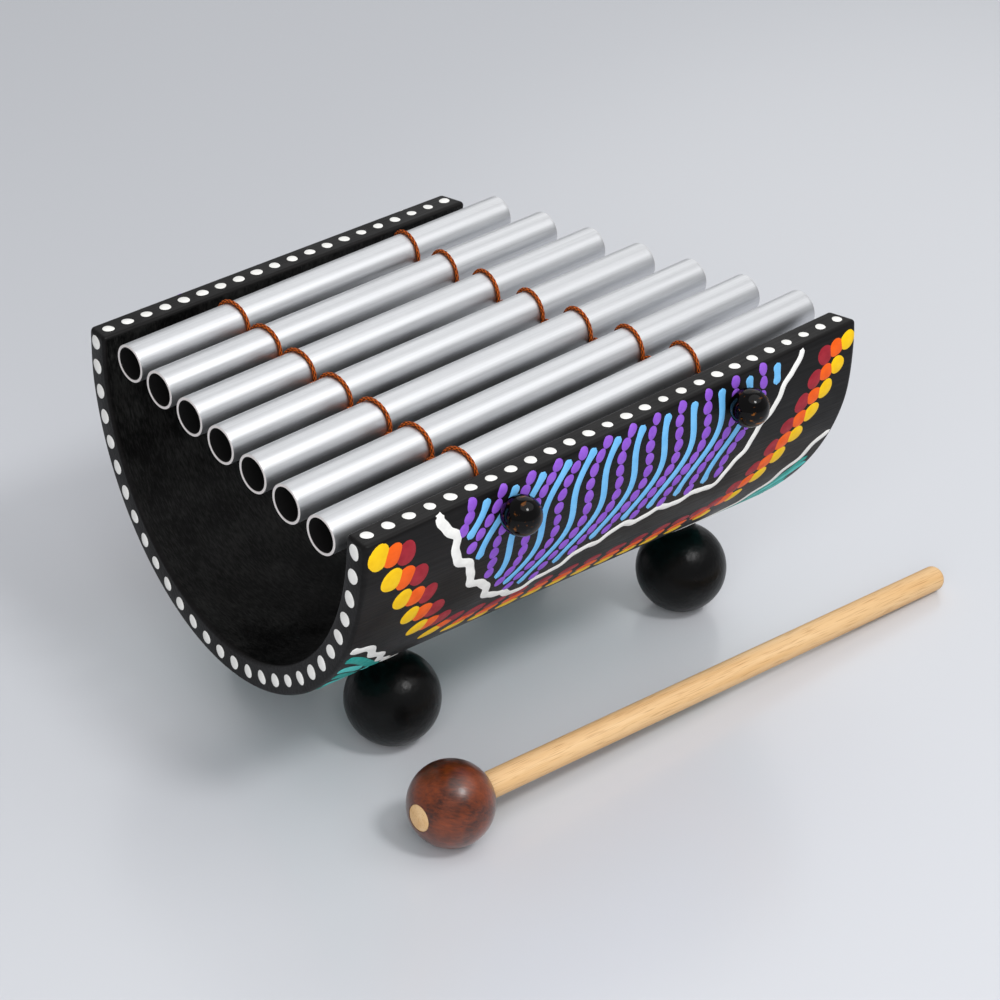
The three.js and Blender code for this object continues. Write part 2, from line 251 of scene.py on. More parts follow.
def on_end(end):
    """Places on an end face: arc round the wall's middle from the near side, out to the outer face."""
    def place(arc, out, lift):
        y = -(RIM_MIDDLE + out) * np.cos(arc / RIM_MIDDLE)
        z = AXIS_HEIGHT - (RIM_MIDDLE + out) * np.sin(arc / RIM_MIDDLE)
        face = front_edge(y) + corner_cut(y) if end < 0 else rear_edge(y) - corner_cut(y)
        return np.stack([face + end * lift, y, z], -1)
    return place


def facing(place, u, v):
    """One if u, v and the lift off a surface make a right-handed set, and minus one if they don't."""
    spot = place(u, v, 0.0)
    sides = [place(u + 0.01, v, 0.0) - spot, place(u, v + 0.01, 0.0) - spot, place(u, v, 0.01) - spot]
    return 1 if np.linalg.det(np.array(sides)) > 0 else -1


def dabs(place, u, v, length, width, turn, height, seed):
    """Drops of thick paint on a surface: ovals with a slightly uneven outline, whose height falls off from
    the middle as one less the cube of the share of the way out, down to an edge that sinks in a little."""
    u, v, length, width, turn = [a[:, None, None] for a in np.broadcast_arrays(u, v, length, width, turn)]
    chance = np.random.default_rng(seed)
    angle = np.linspace(0, 2 * np.pi, DAB_SIDES, endpoint=False)
    out = DAB_RINGS[:, None]
    phase = chance.uniform(0, 2 * np.pi, (2,) + u.shape)
    uneven = 1 + DAB_LOBES[0] * np.cos(2 * angle + phase[0]) + DAB_LOBES[1] * np.cos(3 * angle + phase[1])
    grow = 1 + DAB_SPREAD * chance.standard_normal(u.shape)
    a = out * np.cos(angle) * uneven * grow * length / 2
    b = out * np.sin(angle) * uneven * grow * width / 2
    spot_u = u + a * np.cos(turn) - b * np.sin(turn)
    spot_v = v + a * np.sin(turn) + b * np.cos(turn)
    drops = place(spot_u, spot_v, height * (1 - out ** 3) - PAINT_SINK * out ** 8 + 0 * a)
    tops = place(u, v, height + 0 * u)
    count, rings = len(u), len(DAB_RINGS)
    points = np.concatenate([drops.reshape(count, -1, 3), tops.reshape(count, 1, 3)], 1)
    top = rings * DAB_SIDES
    first = top - DAB_SIDES + np.arange(DAB_SIDES)
    quads = grid_faces(rings, DAB_SIDES, True)[:, ::-1]
    fan = np.stack([first, np.roll(first, -1), np.full(DAB_SIDES, top)], -1)
    order = facing(place, u[0, 0, 0], v[0, 0, 0])
    starts = (top + 1) * np.arange(count)[:, None, None]
    blocks = [block[None, :, ::order] + starts for block in (quads, fan)]
    return points, [block.reshape(-1, block.shape[-1]) for block in blocks]


def paint(name, code, pale):
    """Acrylic craft paint: nearly matt, a little thinner in 3 mm patches, with a 0.4 mm brush texture."""
    material, tree, shader = new_material(name, {"Specular IOR Level": 0.25})
    place = add_node(tree, "TexCoord", "Object", {})
    coat = add_node(tree, "TexNoise", "Fac", {"Vector": place, "Scale": 1 / (3 * MM), "Detail": 3.0})
    fine = add_node(tree, "TexNoise", "Fac", {"Vector": place, "Scale": 1 / (0.4 * MM), "Detail": 2.0})
    share = add_node(tree, "MapRange", 0, {0: coat, 1: 0.35, 2: 0.7})
    colour = add_node(tree, "Mix", 2, {0: share, 6: linear(code), 7: linear(pale)}, data_type="RGBA")
    gloss = add_node(tree, "MapRange", 0, {0: coat, 1: 0.3, 2: 0.7, 3: 0.42, 4: 0.58})
    relief = add_node(tree, "Bump", 0, {"Height": fine, "Distance": 0.04 * MM})
    set_inputs(tree, shader, {"Base Color": colour, "Roughness": gloss, "Normal": relief})
    return material


def painted(name, parts, material):
    """Paint on the trough: it goes with the stand."""
    piece = new_piece(name, parts, material)
    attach(piece, "stand")


white = paint("white_acrylic_paint", "f6f5f1", "e9e8e4")
dots = []
for end in (-1, 1):
    arc = RIM_MIDDLE * np.radians(np.linspace(*END_DOT_ANGLES, END_DOT_COUNT))
    near = np.cos(arc / RIM_MIDDLE)
    size = END_DOT_SIZE * (1 + END_DOT_SWELL * near ** 4)
    out = END_DOT_OUT - END_DOT_SHIFT * near.clip(0)
    dots.append(dabs(on_end(end), arc, out, size, size, 0.0, DOT_HEIGHT, seed=11 + end))
for wall in (-1, 1):
    first = front_edge(wall * RIM_MIDDLE) + RIM_DOT_INSETS["front"]
    last = rear_edge(wall * RIM_MIDDLE) - RIM_DOT_INSETS["rear"]
    along = np.linspace(first, last, RIM_DOT_COUNTS[wall])
    dots.append(dabs(on_rim(wall), along, 0.0, RIM_DOT_SIZE, RIM_DOT_SIZE, 0.0, DOT_HEIGHT, seed=21 + wall))
painted("rim_and_end_dots", dots, white)


# Flame band: three rows of oval dabs in yellow, orange and red, side by side and partly over each other.
# On each wall it hangs from the rim near both ends like a garland, and narrows along the bottom.
# Pairs of values are for steep stretches of the band and for level ones.
BAND_SHARES = (0.052, 0.16, 0.21, 0.3, 0.74, 0.8, 0.953)
BAND_DEPTHS = (3.2, 42.0, 50.0, 54.5, 53.5, 49.5, -6.0)
BAND_STEP = 9.8
BAND_CROWD = 0.16
BAND_SPREADS = {-1: 1.0, 1: 0.96}
FLAME_LENGTHS = (8.4, 9.2)
FLAME_WIDTHS = (8.2, 5.8)
FLAME_LEANS = (-75, -10)
FLAME_TAPER = 0.82
FLAME_AHEAD = 5.6
FLAME_BELOW = (-1.6, 4.6)
FLAME = (("red", "a21f2f", "911a29", -1, 0.14), ("orange", "f46206", "ea5806", 0, 0.22),
         ("yellow", "f8ca04", "f0be02", 1, 0.3))
LINE_POINTS = 1601
LINE_WINDOW = 131


def rim_depth(x):
    """Depth at which a wall's outer face turns on to the rim: over the axis, and so less than nought."""
    return -CULM_RADIUS * np.arcsin((rim_level(x) - EDGE_ROUND) / CULM_RADIUS)


def on_wall(wall):
    """Places on a wall's outer face: x along the culm, depth down round it from the axis's level and lift
    outwards. Past the top of the face they go on over the rim's round edge, by an angle of the rest over its
    radius. Near the ends y is limited by the inverse of the sanded corner's parabola."""
    def place(x, depth, lift):
        lean = np.maximum(depth, rim_depth(x)) / CULM_RADIUS
        over = np.clip((rim_depth(x) - depth) / EDGE_ROUND, 0, np.pi / 2)
        y = CULM_RADIUS * np.cos(lean)
        inset = np.minimum(x - front_edge(wall * y), rear_edge(wall * y) - x)
        corner = CORNER_START - PLAN_CORNER * (1 - np.sqrt(np.clip(inset / PLAN_CORNER, 0, 1))) ** 2
        y = np.minimum(y, corner) - EDGE_ROUND * (1 - np.cos(over)) + lift * np.cos(lean) * np.cos(over)
        z = AXIS_HEIGHT - (CULM_RADIUS + lift) * np.sin(lean) + (EDGE_ROUND + lift) * np.sin(over)
        return np.stack(np.broadcast_arrays(x, wall * y, z), -1)
    return place


def wall_x(wall, share, depth):
    """The place along the culm at a share of the wall's length, at some depth round the wall."""
    y = wall * CULM_RADIUS * np.cos(depth / CULM_RADIUS)
    return front_edge(y) * (1 - share) + rear_edge(y) * share


def hung_line(wall, shares, depths):
    """A line on a wall through a few places, given as shares of the wall's length and depths round it. A
    running mean over a twelfth of its length eases the corners."""
    share = np.linspace(shares[0], shares[-1], LINE_POINTS)
    window = np.hanning(LINE_WINDOW) / np.hanning(LINE_WINDOW).sum()
    depth = np.interp(share, shares, depths)
    depth = np.pad(depth, LINE_WINDOW // 2, "reflect", reflect_type="odd")
    depth = np.convolve(depth, window, "valid")
    return wall_x(wall, share, depth), depth


def stepped(x, y, step, crowd=0.0):
    """Points at even steps along a curve, or crowded to its end, with its directions and lengths there."""
    length = np.concatenate([[0], np.cumsum(np.hypot(np.diff(x), np.diff(y)))])
    share = np.linspace(0, 1, max(3, round(length[-1] / step) + 1))
    along = length[-1] * (share + crowd * share * (1 - share))
    x, y = np.interp(along, length, x), np.interp(along, length, y)
    return x, y, np.arctan2(np.gradient(y), np.gradient(x)), along


rows = {colour: [] for colour, *_ in FLAME}
for wall in (-1, 1):
    shares = 0.5 + (np.array(BAND_SHARES) - 0.5) * BAND_SPREADS[wall]
    x, depth, turn, along = stepped(*hung_line(wall, shares, BAND_DEPTHS), BAND_STEP, BAND_CROWD)
    steep, flat = np.sin(turn), np.cos(turn) ** 2
    lean = np.radians(np.interp(flat, (0, 1), FLAME_LEANS))
    size = np.linspace(1.0, FLAME_TAPER, len(x))
    length, width = [size * np.interp(flat, (0, 1), pair) for pair in (FLAME_LENGTHS, FLAME_WIDTHS)]
    for colour, code, pale, row, height in FLAME:
        spot_x = x - FLAME_AHEAD * row * np.sign(steep) * np.abs(steep) ** 0.7
        spot_depth = depth + row * (FLAME_BELOW[0] * np.abs(steep) + FLAME_BELOW[1] * flat ** 2)
        row_dabs = dabs(on_wall(wall), spot_x, spot_depth, length, width, lean, height, seed=31 + row)
        rows[colour].append(row_dabs)
for colour, code, pale, row, height in FLAME:
    painted("flame_band_" + colour, rows[colour], paint(colour + "_acrylic_paint", code, pale))


# Panel: a field inside each flame band, open at the rim and edged with a wavy white line.
# Leaning wavy strokes of sky blue and rows of purple drops fill it by turns, a free filling pattern.
# The white line thins and its waves flatten to the rear, where the brush runs dry.
PANEL_SHARES = (0.139, 0.18, 0.23, 0.3, 0.36, 0.45, 0.53, 0.74, 0.78, 0.877)
PANEL_DEPTHS = (-4.6, 14.0, 29.0, 44.0, 47.0, 38.0, 33.0, 31.5, 17.0, -10.4)
PANEL_MARGIN = 3.4
PANEL_STARTS = np.arange(12, 205, 5.5)
PANEL_SPAN = (-14, 50)
PANEL_TO_RIM = 0.9
BORDER_STEP = 0.8
BORDER_FADE = 0.4
BORDER_WIDTH = 1.8
BORDER_SWELL = 1.7
BORDER_WAVES = ((1.4, 16), (0.4, 7))
WAVE_LEAN = 0.35
WAVE_HEIGHT = 2.6
WAVE_LENGTH = 36
WAVE_SHIFT = 0.05
DROP_STEP = 4.5
DROP_SIZE = (4.7, 3.7)
DROP_HEIGHT = 0.24
STROKE_STEP = 0.6
STROKE_WIDTH = 2.8
STROKE_SWELL = 0.4
STROKE_BLOB = 2.6
STROKE_HEIGHT = 0.26
STROKE_POINTS = 7


def stroke(place, u, v, width, height):
    """A brush stroke along a curve on a surface: across it, its height is a flat parabola, and its width
    closes in a half circle at both ends."""
    across = np.linspace(-1, 1, STROKE_POINTS)
    step = np.hypot(np.gradient(u), np.gradient(v))
    side_u, side_v = -np.gradient(v) / step, np.gradient(u) / step
    along = np.cumsum(step)
    reach = np.minimum(along - along[0], along[-1] - along) / (width / 2)
    half = width / 2 * np.sqrt(1 - (1 - np.clip(reach, 0, 0.999)) ** 2) + 0.02
    spot_u = u[:, None] + (side_u * half)[:, None] * across
    spot_v = v[:, None] + (side_v * half)[:, None] * across
    lift = height * (1 - across ** 2) - PAINT_SINK + 0 * spot_u
    faces = grid_faces(len(u), STROKE_POINTS)[:, ::facing(place, u[0], v[0])]
    return place(spot_u, spot_v, lift), [faces]


def panel_line(wall, start):
    """A leaning wave down the panel from the rim, cut where it nears the panel's edge."""
    edge_x, edge_depth = hung_line(wall, PANEL_SHARES, PANEL_DEPTHS)
    depth = np.linspace(*PANEL_SPAN, 500)
    wave = WAVE_HEIGHT * np.sin(depth * 2 * np.pi / WAVE_LENGTH + start * WAVE_SHIFT)
    x = start - WAVE_LEAN * depth + wave
    near = [np.interp(x + aside, edge_x, edge_depth, left=-99, right=-99) for aside in (-3, 0, 3)]
    inside = (depth < np.min(near, 0) - PANEL_MARGIN) & (depth > rim_depth(x) + PANEL_TO_RIM)
    return x[inside], depth[inside]


edges, strokes, drops = [], [], []
for wall in (-1, 1):
    x, depth, turn, along = stepped(*hung_line(wall, PANEL_SHARES, PANEL_DEPTHS), BORDER_STEP)
    fade = np.linspace(1.0, BORDER_FADE, len(x))
    wave = fade * sum(size * np.sin(2 * np.pi * along / length) for size, length in BORDER_WAVES)
    x, depth = x - wave * np.sin(turn), depth + wave * np.cos(turn)
    edges.append(stroke(on_wall(wall), x, depth, BORDER_WIDTH + BORDER_SWELL * fade, DOT_HEIGHT))
    for number, start in enumerate(PANEL_STARTS):
        x, depth = panel_line(wall, start)
        if len(x) < 40:
            continue
        if number % 2:
            x, depth, turn, along = stepped(x, depth, DROP_STEP)
            drops.append(dabs(on_wall(wall), x, depth, *DROP_SIZE, turn, DROP_HEIGHT, seed=50 + number))
        else:
            x, depth, turn, along = stepped(x, depth, STROKE_STEP)
            ends = np.minimum(along, along[-1] - along)
            width = STROKE_WIDTH * (1 + STROKE_SWELL * np.exp(-(ends / STROKE_BLOB) ** 2))
            strokes.append(stroke(on_wall(wall), x, depth, width, STROKE_HEIGHT))
painted("panel_edges", edges, white)
painted("panel_strokes", strokes, paint("sky_blue_acrylic_paint", "76bff1", "68b4ea"))
painted("panel_drops", drops, paint("purple_acrylic_paint", "925ad0", "864ec6"))


# Underside: long leaf-like brush strokes in two teals between two wavy white lines.
# The lines follow the flame bands and flare out to the ends, so that they show a little at the corners.
BELLY_SHARES = (0.012, 0.045, 0.1, 0.15, 0.25, 0.75, 0.88, 0.92, 0.96, 0.988)
BELLY_DEPTHS = (38.0, 41.0, 55.0, 70.0, 82.0, 82.0, 66.0, 50.0, 36.0, 28.0)
BELLY_STEP = 0.9
BELLY_WAVE = 0.9
BELLY_WAVE_LENGTH = 13
BELLY_LINE = 3.2
BELLY_LINE_HEIGHT = 0.28
LEAF_ROWS = 14
LEAF_ROW_STEP = 6.0
LEAF_DROP = 5.8
LEAF_LENGTH = 0.14
LEAF_PITCH = 0.165
LEAF_STAGGER = 0.08
LEAF_SHORTEST = 0.04
LEAF_WAVE = 1.2
LEAF_WIDTH = 3.8
LEAF_HEIGHT = 0.24
BELLY_MIDDLE = CULM_RADIUS * np.pi / 2

edges, leaves = [], {"deep": [], "light": []}
first, last = BELLY_SHARES[0], BELLY_SHARES[-1]
for wall in (-1, 1):
    x, depth, turn, along = stepped(*hung_line(wall, BELLY_SHARES, BELLY_DEPTHS), BELLY_STEP)
    wave = BELLY_WAVE * np.sin(2 * np.pi * along / BELLY_WAVE_LENGTH)
    line = (x - wave * np.sin(turn), depth + wave * np.cos(turn))
    edges.append(stroke(on_wall(wall), *line, BELLY_LINE, BELLY_LINE_HEIGHT))
    for row in range(LEAF_ROWS):
        for start in np.arange(first - LEAF_STAGGER * (row % 2), 0.98, LEAF_PITCH):
            share = np.linspace(max(start, first), min(start + LEAF_LENGTH, last), 40)
            leaf_depth = np.interp(wall_x(wall, share, 50.0), x, depth) + LEAF_DROP + LEAF_ROW_STEP * row
            leaf_depth += LEAF_WAVE * np.sin((share - start) * 20)
            if share[-1] - share[0] > LEAF_SHORTEST and np.all(leaf_depth < BELLY_MIDDLE - 2):
                leaf_x = wall_x(wall, share, leaf_depth)
                leaf = stroke(on_wall(wall), leaf_x, leaf_depth, LEAF_WIDTH, LEAF_HEIGHT)
                leaves["light" if row % 2 else "deep"].append(leaf)
painted("belly_edges", edges, white)
painted("belly_leaves_deep", leaves["deep"], paint("teal_acrylic_paint", "1fa69c", "1b988e"))
painted("belly_leaves_light", leaves["light"], paint("light_teal_acrylic_paint", "54d0ca", "49c2bc"))


# Tubes: seven lengths of drawn aluminium tube, cut square, with the cut edges broken by a light filing.
# Their faces keep the fine lines of the drawing die, and each hangs in two loops of the cords.
TUBES = 7
TUBE_RADIUS = 6.35
TUBE_WALL = 0.9
TUBE_EDGE = 0.2
TUBE_SIDES = 56
TUBE_SHARES = np.arange(TUBES) / (TUBES - 1)
TUBE_LENGTHS = np.geomspace(157.5, 202, TUBES)
TUBE_FRONTS = np.linspace(-78, -98, TUBES)
TUBE_TO_WALL = 4.95
TUBE_Y = (BORE_RADIUS - TUBE_RADIUS - TUBE_TO_WALL) * np.linspace(1, -1, TUBES)
ROW_SKEW = math.radians(1.25)
ROW_DROP = 4.1
ROW_MIDDLE = np.array([CULM_LENGTH / 2, 0, AXIS_HEIGHT + rim_level(CULM_LENGTH / 2) - ROW_DROP])
ROW_TURN = np.array([
    [math.cos(ROW_SKEW) * math.cos(RIM_TILT), -math.sin(ROW_SKEW), -math.cos(ROW_SKEW) * math.sin(RIM_TILT)],
    [math.sin(ROW_SKEW) * math.cos(RIM_TILT), math.cos(ROW_SKEW), -math.sin(ROW_SKEW) * math.sin(RIM_TILT)],
    [math.sin(RIM_TILT), 0, math.cos(RIM_TILT)]])


def in_row(points):
    """Points of the row of tubes, which leans with the rims and is a little askew, moved to their place."""
    return points @ ROW_TURN.T + ROW_MIDDLE


def turned(along, radius, start, axis, sectors):
    """A profile turned about a line: circles of the given radii at the given distances along the line. A
    radius of nought at either end of the profile is one point, which closes it with a fan."""
    axis = np.array(axis) / np.linalg.norm(axis)
    side = np.cross(axis, [0.0, 0.0, 1.0] if abs(axis[2]) < 0.9 else [1.0, 0.0, 0.0])
    side /= np.linalg.norm(side)
    angle = np.linspace(0, 2 * np.pi, sectors, endpoint=False)[:, None]
    circle = np.cos(angle) * side + np.sin(angle) * np.cross(axis, side)
    along, radius = np.array(along), np.array(radius)
    solid = radius > 1e-6
    rings = np.array(start) + along[solid, None, None] * axis + radius[solid, None, None] * circle
    count = solid.sum()
    points, faces = [rings.reshape(-1, 3)], [grid_faces(count, sectors, True)]
    for pole, ring, flip in ((0, 0, 1), (-1, count - 1, -1)):
        if not solid[pole]:
            tip = np.full(sectors, sum(len(p) for p in points))
            edge = ring * sectors + np.arange(sectors)
            fan = np.stack([tip, edge, np.roll(edge, -1)], -1)
            points.append((np.array(start) + along[pole] * axis)[None])
            faces.append(fan[:, ::flip])
    return np.vstack(points), faces


def tube_shape(number):
    """A tube's closed profile, from its bore over the rounded front edge, along outside and back, turned. The
    second result marks the outside with 0, the sawn ends with a half and the bore with 1."""
    turn = np.linspace(0, np.pi / 2, 5)
    bore, length = TUBE_RADIUS - TUBE_WALL, TUBE_LENGTHS[number]
    rise, fall = TUBE_EDGE * (1 - np.cos(turn)), TUBE_EDGE * (1 - np.sin(turn))
    mouth = np.concatenate([fall, rise])
    lip = np.concatenate([bore + rise, TUBE_RADIUS - fall])
    along = np.concatenate([mouth, [1.0, length - 1.0], length - mouth[::-1], [length - 1.0, 1.0], mouth[:1]])
    radius = np.concatenate([lip, [TUBE_RADIUS] * 2, lip[::-1], [bore] * 2, lip[:1]])
    start = in_row(np.array([TUBE_FRONTS[number], TUBE_Y[number], 0.0]))
    sawn = np.array([1.0] + [0.5] * 8 + [0.0])
    cut = np.concatenate([sawn, [0.0] * 2, sawn[::-1], [1.0] * 3])
    return turned(along, radius, start, ROW_TURN[:, 0], TUBE_SIDES), np.repeat(cut, TUBE_SIDES)


# Drawn aluminium, satin: die lines 0.6 mm wide run the whole length and spread the shine across the tube.
# The sawn ends are paler and duller, and the bores are coloured near-black: painted shade inside the tubes.
aluminium, tree, shader = new_material("satin_drawn_aluminium", {})
place = add_node(tree, "TexCoord", "Object", {})
cut = add_node(tree, "Attribute", "Fac", {}, attribute_name="cut")
turns = {"Vector": place, "Rotation": (0, -RIM_TILT, ROW_SKEW), "Scale": (120 * MM, 0.6 * MM, 0.6 * MM)}
lines = add_node(tree, "Mapping", 0, turns, vector_type="TEXTURE")
drawn = add_node(tree, "TexNoise", "Fac", {"Vector": lines, "Scale": 1.0, "Detail": 3.0})
cloud = add_node(tree, "TexNoise", "Fac", {"Vector": place, "Scale": 1 / (22 * MM), "Detail": 2.0})
outside = add_node(tree, "Mix", 2, {0: drawn, 6: linear("d0d1d3"), 7: linear("e8e9eb")}, data_type="RGBA")
sawn = add_node(tree, "MapRange", 0, {0: cut, 1: 0.1, 2: 0.4})
ends = add_node(tree, "Mix", 2, {0: sawn, 6: outside, 7: linear("efe9e6")}, data_type="RGBA")
# Painted shade: the bores' colour is near-black, standing for the shade deep inside the tubes.
bore = add_node(tree, "MapRange", 0, {0: cut, 1: 0.55, 2: 0.95})
colour = add_node(tree, "Mix", 2, {0: bore, 6: ends, 7: linear("141313")}, data_type="RGBA")
satin = add_node(tree, "MapRange", 0, {0: cloud, 1: 0.3, 2: 0.7, 3: 0.4, 4: 0.48})
gloss = add_node(tree, "Math", 0, {0: cut, 1: 0.3, 2: satin}, operation="MULTIPLY_ADD")
metal = add_node(tree, "MapRange", 0, {0: cut, 1: 0.0, 2: 1.0, 3: 1.0, 4: 0.2})
relief = add_node(tree, "Bump", 0, {"Height": drawn, "Distance": 0.02 * MM})
set_inputs(tree, shader, {"Base Color": colour, "Roughness": gloss, "Metallic": metal, "Normal": relief})

for number in range(TUBES):
    shape, cut = tube_shape(number)
    tube = new_piece(f"tube_{number + 1}_drawn", [shape], aluminium)
    mark_points(tube, "cut", cut)
    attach(tube, f"tube_{number + 1}_body")
    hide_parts(f"tube_{number + 1}")


# Cords: two runs of rust-coloured braided cord, each of two strands twined round the tubes by turns.
# Where one strand passes over a tube the other passes under, and between tubes they make one turn round each
# other. They leave through a hole in each wall, so the loops move with the tubes and the ends don't.
CORD_RADIUS = 0.65
CORD_REACH = TUBE_RADIUS + CORD_RADIUS
STRAND_ASIDE = 1.05
STRAND_STEP = 0.1
STRAND_WINDOW = 13
STRAND_THROUGH = (6.3, 0.0, -CULM_WALL, -CULM_WALL - 1.2)
TWIST_RADIUS = 0.66
TWIST_DROP = math.radians(15)
TWIST_HANDS = {"front": 1, "rear": -1}
HOLE_DROPS = {-1: 9.0, 1: 13.0}
HOLE_SHARES = {"front": 0.268, "rear": 0.732}
RING_SHARES = {"front": 0.25, "rear": 0.711}
RING_BOWS = {"front": 0.012, "rear": 0.02}
WALL_TUBES = {-1: TUBES - 1, 1: 0}
BRAID_PITCH = 2.0
BRAID_SIDES = 16
BRAID_HOLLOW = 0.82
BRAID_SWELL = 0.2


def ring_places(run):
    """Where a run crosses each tube: at a share of its length, a little further back at the outer tubes."""
    return TUBE_FRONTS + (RING_SHARES[run] + RING_BOWS[run] * (2 * TUBE_SHARES - 1) ** 2) * TUBE_LENGTHS


def hole_place(run, wall):
    """The middle of a cord's hole in a wall's outer face. The far one is in line with the run's last ring."""
    y = wall * CULM_RADIUS
    near = front_edge(y) * (1 - HOLE_SHARES[run]) + rear_edge(y) * HOLE_SHARES[run]
    x = near if wall < 0 else in_row(np.array([ring_places(run)[0], y, 0.0]))[0]
    return np.array([x, y, AXIS_HEIGHT + rim_level(x) - HOLE_DROPS[wall]])


def strand_path(run, phase):
    """A strand's path in the row of tubes: straight through a wall, then half a circle over or under each
    tube and, between tubes, one turn of a helix round the line that joins their sides, opposite the other
    strand. It is divided into small even steps, and a running mean eases its corners. The second result
    lists the steps where it is cut into pieces: at both ends, inside both walls, at both sides of each tube
    and in the middle of each gap."""
    nodes, hand = ring_places(run), TWIST_HANDS[run]
    ups = [1 if (i + phase) % 2 == 0 else -1 for i in range(TUBES)]
    reach_y, reach_z = CORD_REACH * math.cos(TWIST_DROP), -CORD_REACH * math.sin(TWIST_DROP)
    ends = {}
    for wall, last in WALL_TUBES.items():
        out = wall * np.outer(STRAND_THROUGH, [0, 1, 0])
        through = hole_place(run, wall) + out + [0, 0, ups[last] * STRAND_ASIDE]
        ends[wall] = (through - ROW_MIDDLE) @ ROW_TURN
    legs, marks = [ends[-1]], []
    for i in reversed(range(TUBES)):
        up, touch = ups[i], {}
        for wall, last in WALL_TUBES.items():
            touch[wall] = -up * TWIST_DROP
            if i == last:
                mouth = ends[wall][-1] - [0, TUBE_Y[i], 0]
                slack = math.acos(CORD_REACH / math.hypot(*mouth[1:])) - math.atan2(mouth[2], abs(mouth[1]))
                touch[wall] = slack if up < 0 else 0.0
        angle = np.linspace(np.pi - touch[-1], touch[1], 60)
        ring_x = nodes[i] - hand * up * TWIST_RADIUS * np.cos(angle)
        ring_y = TUBE_Y[i] + CORD_REACH * np.cos(angle)
        ring = np.stack([ring_x, ring_y, up * CORD_REACH * np.sin(angle)], -1)
        legs.append(ring)
        marks.append([ring[0], ring[-1]])
        if i > 0:
            share = np.linspace(0, 1, 41)[1:-1, None]
            start = np.array([nodes[i], TUBE_Y[i] + reach_y, reach_z])
            way = np.array([nodes[i - 1], TUBE_Y[i - 1] - reach_y, reach_z]) - start
            side = np.cross(way / np.linalg.norm(way), [0.0, 0.0, 1.0])
            turn = 2 * np.pi * share + (np.pi if up > 0 else 0)
            aside = hand * np.cos(turn) * side + np.sin(turn) * [0, 0, 1]
            legs.append(start + share * way + TWIST_RADIUS * aside)
    path = np.vstack(legs + [ends[1][::-1]])
    length = np.concatenate([[0], np.cumsum(np.linalg.norm(np.diff(path, axis=0), axis=1))])
    along = np.linspace(0, length[-1], round(length[-1] / STRAND_STEP))
    fine = np.stack([np.interp(along, length, path[:, k]) for k in range(3)], -1)
    window = np.hanning(STRAND_WINDOW) / np.hanning(STRAND_WINDOW).sum()
    padded = np.pad(fine, ((STRAND_WINDOW // 2, STRAND_WINDOW // 2), (0, 0)), "edge")
    fine = np.stack([np.convolve(padded[:, k], window, "valid") for k in range(3)], -1)

    def nearest(spot):
        """The step of the path that lies nearest to a point."""
        return int(np.argmin(np.linalg.norm(fine - spot, axis=1)))

    sides = [[nearest(spot) for spot in mark] for mark in marks]
    cuts = [0, nearest(ends[-1][-1]), *sides[0]]
    for before, after in zip(sides, sides[1:]):
        cuts += [(before[1] + after[0]) // 2, *after]
    return fine, cuts + [nearest(ends[1][-1]), len(fine) - 1]


def braid(path):
    """A round braid along every second step of a path, and its swelling. The radius swells where plies cross
    on top, by the product of a cosine of four times the angle round the cord and a cosine along it."""
    path = path[::2]
    along = np.arange(len(path))[:, None] * 2 * STRAND_STEP
    way = np.gradient(path, axis=0)
    way /= np.linalg.norm(way, axis=1, keepdims=True)
    side = np.array([1.0, 0, 0]) - way[:, :1] * way
    side /= np.linalg.norm(side, axis=1, keepdims=True)
    angle = np.linspace(0, 2 * np.pi, BRAID_SIDES, endpoint=False)
    swell = (np.cos(4 * angle) * np.cos(2 * np.pi * along / BRAID_PITCH) + 1) / 2
    radius = (CORD_RADIUS * (BRAID_HOLLOW + BRAID_SWELL * swell))[..., None]
    circle = np.cos(angle)[:, None] * side[:, None] + np.sin(angle)[:, None] * np.cross(way, side)[:, None]
    return in_row(path[:, None] + radius * circle), swell


# Braided polyester cord: matt rust-coloured plies, with painted shade in the hollows between them and a
# painted highlight on their crowns. Real plies are about 0.6 mm long, and are drawn coarser here so that
# they show.
braided, tree, shader = new_material("braided_rust_cord", {"Roughness": 0.8, "Specular IOR Level": 0.25})
place = add_node(tree, "TexCoord", "Object", {})
ply_shade = add_node(tree, "Attribute", "Fac", {}, attribute_name="ply_shade")
fuzz = add_node(tree, "TexNoise", "Fac", {"Vector": place, "Scale": 1 / (0.5 * MM), "Detail": 3.0})
# Painted shade and highlight: the hollows between plies are coloured dark and their crowns light, broken up
# by fuzz.
shade_and_fuzz = add_node(tree, "Math", 0, {0: ply_shade, 1: fuzz}, operation="MULTIPLY")
share = add_node(tree, "MapRange", 0, {0: shade_and_fuzz, 1: 0.14, 2: 0.4})
colour = add_node(tree, "Mix", 2, {0: share, 6: linear("300c02"), 7: linear("d0641f")}, data_type="RGBA")
set_inputs(tree, shader, {"Base Color": colour})


def cord_piece(name, run, strands, number):
    """One length of a run's two strands, counted from the near wall, with the plies' swelling kept for the
    colour's painted shade and highlight. The second result is the middle of each of its ends, in metres."""
    stretches = []
    for points, swell, cuts in strands:
        span = slice(cuts[number], cuts[number + 1] + 1)
        stretches.append((points[span], swell[span]))
    parts = [(points, [grid_faces(*points.shape[:2], True)]) for points, swell in stretches]
    piece = new_piece(name, parts, braided)
    mark_points(piece, "ply_shade", np.concatenate([swell.ravel() for points, swell in stretches]))
    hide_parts(f"{run}_cord_a", f"{run}_cord_b")
    ends = np.mean([[points[0].mean(0), points[-1].mean(0)] for points, swell in stretches], 0)
    return piece, (ends + CULM_FRONT) * MM


